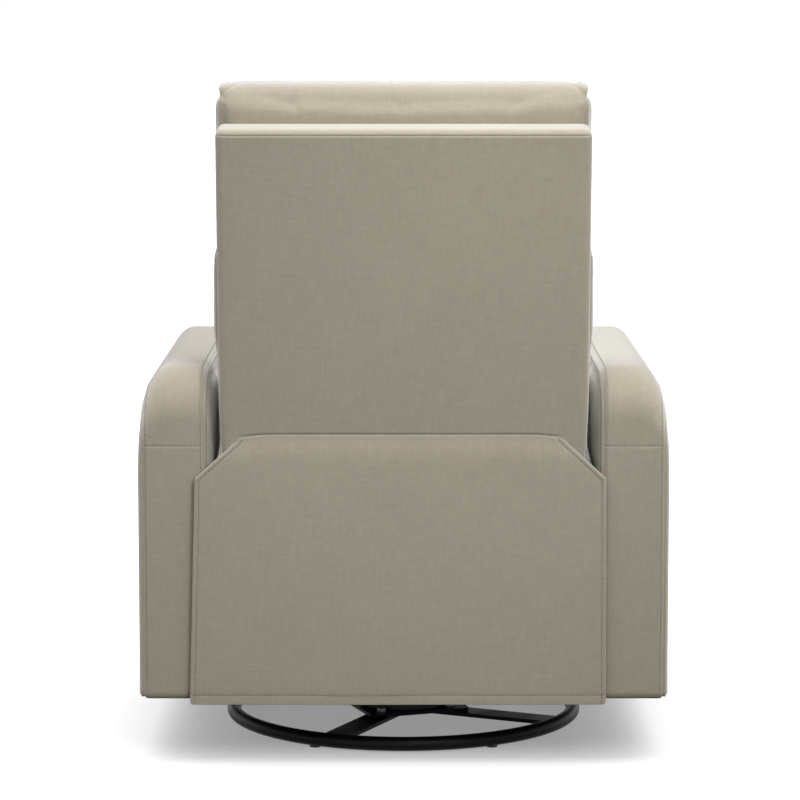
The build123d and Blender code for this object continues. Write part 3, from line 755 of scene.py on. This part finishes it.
def flap_hang(z):
    """Share of the flap's drop at a height, from 0 at its seam to 1 at its hem."""
    return np.clip((FLAP_HIGH[2] - z) / (FLAP_HIGH[2] - FLAP_LOW[2]), 0, 1)


def flap_slope():
    """Angle of the flap's slanted upper corners from the upright."""
    seam, shoulder, _ = FLAP_HALF
    return math.atan2(shoulder - seam, FLAP_HIGH[2] - FLAP_SHOULDER_Z)


def flap_half(z):
    """Half of the flap's width at a height, with its lower corners rounded."""
    seam, shoulder, hem = FLAP_HALF
    corner = np.clip((FLAP_LOW[2] + FLAP_CORNER - z) / FLAP_CORNER, 0, 1)
    straight = np.interp(z, [FLAP_LOW[2], FLAP_SHOULDER_Z, FLAP_HIGH[2]], [hem, shoulder, seam])
    return straight - round_drop(corner, FLAP_CORNER)


def from_flap_edge(x, z):
    """Distance from a point of the flap to its nearest free edge at the sides."""
    _, shoulder, hem = FLAP_HALF
    slope = flap_slope()
    to_slant = (shoulder - np.abs(x)) * math.cos(slope) - (z - FLAP_SHOULDER_Z) * math.sin(slope)
    to_side = hem + (shoulder - hem) * (z - FLAP_LOW[2]) / (FLAP_SHOULDER_Z - FLAP_LOW[2]) - np.abs(x)
    return np.minimum(to_slant, to_side)


def flap_droop(x):
    """How far the flap's seam droops at a place across it."""
    end = np.clip((np.abs(x) / FLAP_HALF[0] - FLAP_DROOP_START) / (1 - FLAP_DROOP_START), 0, 1)
    return FLAP_DROOP * end ** 2


def flap_surface(x, z):
    """Y of the flap's rear face: ripples, the tuck at its seam, folded edges and sunk stitch rows."""
    hang = flap_hang(z)
    ripple = sum(rise * np.sin(x * waves + start) * hang ** power
                 for rise, waves, start, power in FLAP_RIPPLES)
    tuck = sum(groove(FLAP_HIGH[2] - z, *shape) for shape in FLAP_TUCKS)
    edge = from_flap_edge(x, z)
    fold = FLAP_FOLD[0] * np.clip((FLAP_EDGE_STITCH - edge) / FLAP_FOLD[1], 0, 1)
    rounding = FLAP_EDGE_ROUND[0] * np.clip(1 - edge / FLAP_EDGE_ROUND[1], 0, 1)
    sewn = groove(edge - FLAP_EDGE_STITCH, *FLAP_STITCH_SINK)
    sewn = sewn + groove(z - FLAP_LOW[2] - FLAP_HEM_STITCH, *FLAP_STITCH_SINK)
    return FLAP_HIGH[1] - FLAP_SUNK + ripple - tuck + fold - rounding - sewn


def flap_place(x, z):
    """Cloth points at places across and heights, with the swing to one side and the seam's drooping ends."""
    above_shoulder = np.clip((z - FLAP_SHOULDER_Z) / (FLAP_HIGH[2] - FLAP_SHOULDER_Z), 0, 1)
    swing = FLAP_SWING[0] + FLAP_SWING[1] * flap_hang(z)
    return np.column_stack([x + swing, flap_surface(x, z), z - flap_droop(x) * above_shoulder])


def flap_heights():
    """Heights of the flap's mesh rows, close together at the hem and towards the seam."""
    hem = FLAP_LOW[2] + np.array(FLAP_HEM_LINES)
    start, end, count = FLAP_BODY_LINES
    body = np.linspace(FLAP_LOW[2] + start, FLAP_SHOULDER_Z - end, count)
    rise = 1 - np.linspace(1, 0, FLAP_TOP_LINES) ** FLAP_TOP_POWER
    return np.concatenate([hem, body, FLAP_SHOULDER_Z + (FLAP_HIGH[2] - FLAP_SHOULDER_Z) * rise])


def flap_row(z):
    """Points of one mesh row of the flap's rear face, close together at both edges."""
    half = flap_half(z)
    stretch = FLAP_SLANT_STRETCH if z > FLAP_SHOULDER_Z else 1.0
    side = np.concatenate([half - np.array(FLAP_EDGE_LINES) * stretch, half - np.linspace(*FLAP_INNER_LINES)])
    x = np.concatenate([-side, side[::-1]])
    return flap_place(x, np.full(len(x), z))


def closed_sheet(rear, front):
    """Points and faces of a sheet between two grids of points, closed around its border."""
    count_z, count_x = rear.shape[:2]

    def at(layer, i, j):
        return (layer * count_z + i) * count_x + j

    faces = []
    for i in range(count_z - 1):
        for j in range(count_x - 1):
            faces.append((at(0, i, j), at(0, i + 1, j), at(0, i + 1, j + 1), at(0, i, j + 1)))
            faces.append((at(1, i, j), at(1, i, j + 1), at(1, i + 1, j + 1), at(1, i + 1, j)))
    border = [(0, j) for j in range(count_x)]
    border += [(i, count_x - 1) for i in range(1, count_z)]
    border += [(count_z - 1, j) for j in range(count_x - 2, -1, -1)]
    border += [(i, 0) for i in range(count_z - 2, 0, -1)]
    for (i, j), (k, m) in zip(border, border[1:] + border[:1]):
        faces.append((at(0, i, j), at(0, k, m), at(1, k, m), at(1, i, j)))
    return np.concatenate([rear.reshape(-1, 3), front.reshape(-1, 3)]), faces


def flap_stitch_rows():
    """Stitch rows along the flap's two sides and its hem."""
    seam, shoulder, hem = FLAP_HALF
    inset = FLAP_EDGE_STITCH
    slope = flap_slope()
    turn = FLAP_SHOULDER_Z - inset * math.tan(slope / 2)
    from_hem, from_seam, count_below, count_above = FLAP_SIDE_ROW
    below = np.linspace(FLAP_LOW[2] + from_hem, turn, count_below)
    above = np.linspace(turn, FLAP_HIGH[2] - from_seam, count_above)
    side_z = np.concatenate([below, above[1:]])
    insets = [hem - inset, shoulder - inset, seam - inset / math.cos(slope)]
    side_x = np.interp(side_z, [FLAP_LOW[2], turn, FLAP_HIGH[2]], insets)
    from_side, count_hem = FLAP_HEM_ROW
    hem_x = np.linspace(-hem + from_side, hem - from_side, count_hem)
    hem_z = np.full(count_hem, FLAP_LOW[2] + FLAP_HEM_STITCH)
    paths = [flap_place(side_x, side_z), flap_place(-side_x, side_z), flap_place(hem_x, hem_z)]
    return [(path, np.tile((0.0, 1.0, 0.0), (len(path), 1))) for path in paths]


def make_flap():
    heights = flap_heights()
    rear = np.array([flap_row(z) for z in heights])
    front = rear.copy()
    front[:, :, 1] = np.minimum(rear[:, :, 1] - FLAP_THICK, FLAP_HIGH[1] - FLAP_THICK)
    flap = mesh_object("rear_flap_cloth", *closed_sheet(rear, front), "upholstery")
    dress(flap, "flap", "upholstery", "rear_flap")
    thread = stitches("flap_stitching", flap_stitch_rows(), "flap")


def finish_cad_nodes():
    """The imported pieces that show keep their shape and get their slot's material."""
    slots = {part["node"]: part["material_slot"] for part in frame["record"]["subparts"]}
    for name, piece in NODES.items():
        piece.data.materials.clear()
        piece.data.materials.append(MATERIALS[slots[name]])


def make_floor():
    """A floor that the camera sees as white with a shadow, and that throws little light on the object."""
    bpy.ops.mesh.primitive_plane_add(size=FLOOR_SIZE)
    floor = bpy.context.object
    floor.name = "studio_floor"
    material, graph, shader = new_material("studio_floor")
    seen = graph.seen()
    level = graph.pick(seen, FLOOR_BOUNCE, FLOOR_SEEN)
    graph.fill(shader, Base_Color=graph.vector(level, level, level), Emission_Color=(1.0, 1.0, 1.0, 1.0),
               Emission_Strength=graph.math("MULTIPLY", seen, FLOOR_LIFT), Roughness=1.0,
               Specular_IOR_Level=0.0)
    floor.data.materials.append(material)


def make_sky():
    """Soft light from above, the flanks and the front, behind which the camera sees white."""
    world = bpy.data.worlds.new("studio")
    bpy.context.scene.world = world
    world.use_nodes = True
    graph = Graph(world.node_tree)
    spot = graph.split(graph.add("ShaderNodeTexCoord").outputs["Generated"])
    above = graph.math("MAXIMUM", spot[2], 0.0)
    aside = graph.math("ABSOLUTE", spot[0])
    before = graph.math("MAXIMUM", graph.math("MULTIPLY", spot[1], -1.0), 0.0)
    light = graph.math("MULTIPLY_ADD", graph.math("POWER", above, SKY_TOP_POWER), SKY_TOP, SKY_SIDE)
    light = graph.math("MULTIPLY_ADD", graph.math("POWER", aside, 2.0), SKY_FLANK, light)
    light = graph.math("MULTIPLY_ADD", graph.math("POWER", before, 2.0), SKY_FRONT, light)
    level = graph.pick(graph.seen(), light, 1.0)
    background = graph.add("ShaderNodeBackground", Color=(1.0, 1.0, 1.0, 1.0), Strength=level)
    graph.add("ShaderNodeOutputWorld", Surface=background.outputs[0])


def make_key():
    lamp = bpy.data.lights.new("key", "AREA")
    lamp.energy = KEY_POWER
    lamp.size = KEY_SIZE
    lamp.spread = math.radians(KEY_SPREAD)
    key = bpy.data.objects.new("key", lamp)
    key.location = KEY_PLACE
    key.rotation_euler = (Vector(KEY_AIM) - Vector(KEY_PLACE)).to_track_quat("-Z", "Y").to_euler()
    bpy.context.scene.collection.objects.link(key)


def make_camera():
    data = bpy.data.cameras.new("photo_camera")
    data.lens = CAMERA_LENS
    data.sensor_width = CAMERA_SENSOR
    camera = bpy.data.objects.new("photo_camera", data)
    camera.location = CAMERA_PLACE
    camera.rotation_euler = Euler((math.radians(90 - CAMERA_PITCH), 0.0, math.pi), "XYZ")
    bpy.context.scene.collection.objects.link(camera)
    bpy.context.scene.camera = camera


bpy.context.scene.view_settings.view_transform = "Standard"
finish_cad_nodes()
make_floor()
make_sky()
make_key()
make_camera()
for arm_side in ("left", "right"):
    make_arm(arm_side)
make_shell()
make_cushion("head_pillow_cover", "head_pillow", "backrest", radius=0.040, swell=(0.001, 0.004, 0.001),
             sewn=((0.0, 0.1), (0.0, 1.0), (0.5, 1.0)), tilted=True, seams=pillow_seams, shape=level_top,
             square=PILLOW_SQUARE)
make_cushion("lower_back_cover", "lower_back_cushion", "backrest", radius=0.016, swell=(0.001, 0.004, 0.001),
             sewn=((0.0, 0.03), (0.0, 1.0), (0.5, 1.0)), tilted=True, halves=LOWER_BACK_HALF,
             tail=LOWER_BACK_TAIL)
make_cushion("seat_cover", "seat_cushion", "seat", radius=0.034, swell=(0.003, 0.006, 0.010),
             sewn=((0.9, 1.0), (0.0, 1.0), (0.0, 0.1)))
make_cushion("footrest_cover", "footrest_pad", "footrest", radius=0.011, swell=(0.002, 0.004, 0.002),
             sewn=((0.7, 1.0), (0.0, 1.0), (0.0, 0.0)), wrap=FOOTREST_WRAP)
make_flap()
